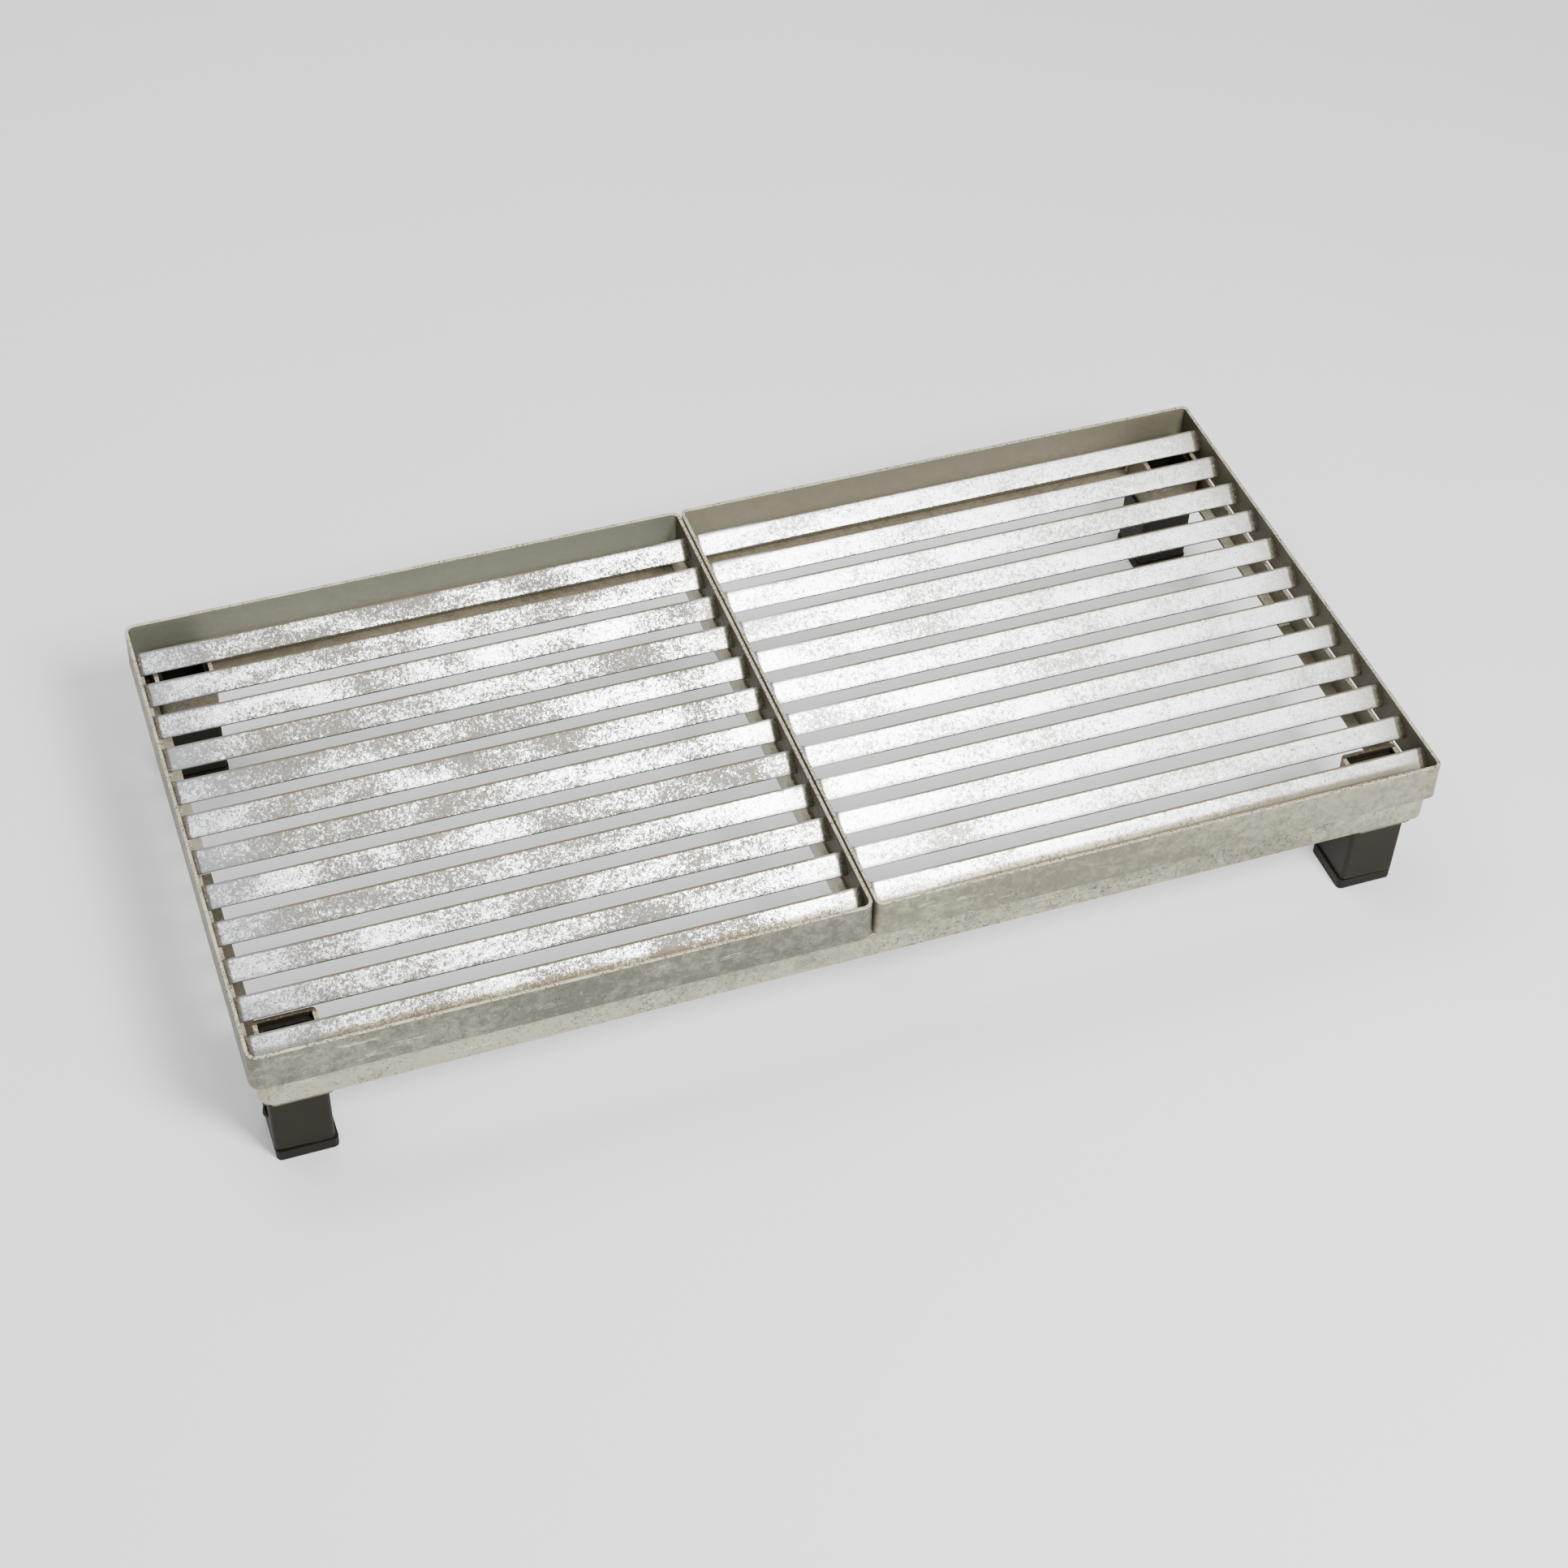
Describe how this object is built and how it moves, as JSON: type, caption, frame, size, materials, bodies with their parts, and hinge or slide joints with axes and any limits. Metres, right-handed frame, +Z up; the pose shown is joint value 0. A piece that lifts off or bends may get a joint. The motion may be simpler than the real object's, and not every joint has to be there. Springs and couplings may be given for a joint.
{
  "type": "louvred floor rack",
  "caption": "Low rack of square louvred steel grates lying in a row on a rectangular angle frame with short socketed legs and plastic feet.",
  "frame": {"origin": "on the floor, under the middle of the rack", "axes": "+X along the long side, +Z up, the slats' broad faces look up and towards -Y"},
  "size_m": [1.0016, 0.5, 0.136],
  "materials": {
    "mottled_zinc": "weathered hot-dip zinc, mottled grey with bright flakes",
    "bright_zinc": "satin bright zinc with few blemishes",
    "frame_zinc": "dull warm grey zinc, stained",
    "dark_paint": "semi-gloss brown-black paint, worn at the edges",
    "black_plastic": "matt black plastic"
  },
  "bodies": {
    "base": {"base_frame": "frame_zinc", "centre_crossbar": "frame_zinc", "leg_socket_front_left": "frame_zinc", "leg_socket_front_right": "frame_zinc", "leg_socket_rear_left": "frame_zinc", "leg_socket_rear_right": "frame_zinc"},
    "left_grate": {"left_grate_rim": "mottled_zinc", "left_slat_01": "mottled_zinc", "left_slat_02": "mottled_zinc", "left_slat_03": "mottled_zinc", "left_slat_04": "mottled_zinc", "left_slat_05": "mottled_zinc", "left_slat_06": "mottled_zinc", "left_slat_07": "mottled_zinc", "left_slat_08": "mottled_zinc", "left_slat_09": "mottled_zinc", "left_slat_10": "mottled_zinc", "left_slat_11": "mottled_zinc", "left_slat_12": "mottled_zinc"},
    "right_grate": {"right_grate_rim": "bright_zinc", "right_slat_01": "bright_zinc", "right_slat_02": "bright_zinc", "right_slat_03": "bright_zinc", "right_slat_04": "bright_zinc", "right_slat_05": "bright_zinc", "right_slat_06": "bright_zinc", "right_slat_07": "bright_zinc", "right_slat_08": "bright_zinc", "right_slat_09": "bright_zinc", "right_slat_10": "bright_zinc", "right_slat_11": "bright_zinc", "right_slat_12": "bright_zinc"},
    "leg_front_left": {"leg_front_left": "dark_paint", "foot_cap_front_left": "black_plastic"},
    "leg_front_right": {"leg_front_right": "dark_paint", "foot_cap_front_right": "black_plastic"},
    "leg_rear_left": {"leg_rear_left": "dark_paint", "foot_cap_rear_left": "black_plastic"},
    "leg_rear_right": {"leg_rear_right": "dark_paint", "foot_cap_rear_right": "black_plastic"}
  },
  "joints": [
    {"name": "left_grate_lift", "type": "slide", "parent": "base", "child": "left_grate", "axis": [0, 0, 1], "range_m": [0, 0.06]},
    {"name": "right_grate_lift", "type": "slide", "parent": "base", "child": "right_grate", "axis": [0, 0, 1], "range_m": [0, 0.06]},
    {"name": "leg_pull_front_left", "type": "slide", "parent": "base", "child": "leg_front_left", "axis": [0, 0, -1], "range_m": [0, 0.026]},
    {"name": "leg_pull_front_right", "type": "slide", "parent": "base", "child": "leg_front_right", "axis": [0, 0, -1], "range_m": [0, 0.026]},
    {"name": "leg_pull_rear_left", "type": "slide", "parent": "base", "child": "leg_rear_left", "axis": [0, 0, -1], "range_m": [0, 0.026]},
    {"name": "leg_pull_rear_right", "type": "slide", "parent": "base", "child": "leg_rear_right", "axis": [0, 0, -1], "range_m": [0, 0.026]}
  ]
}
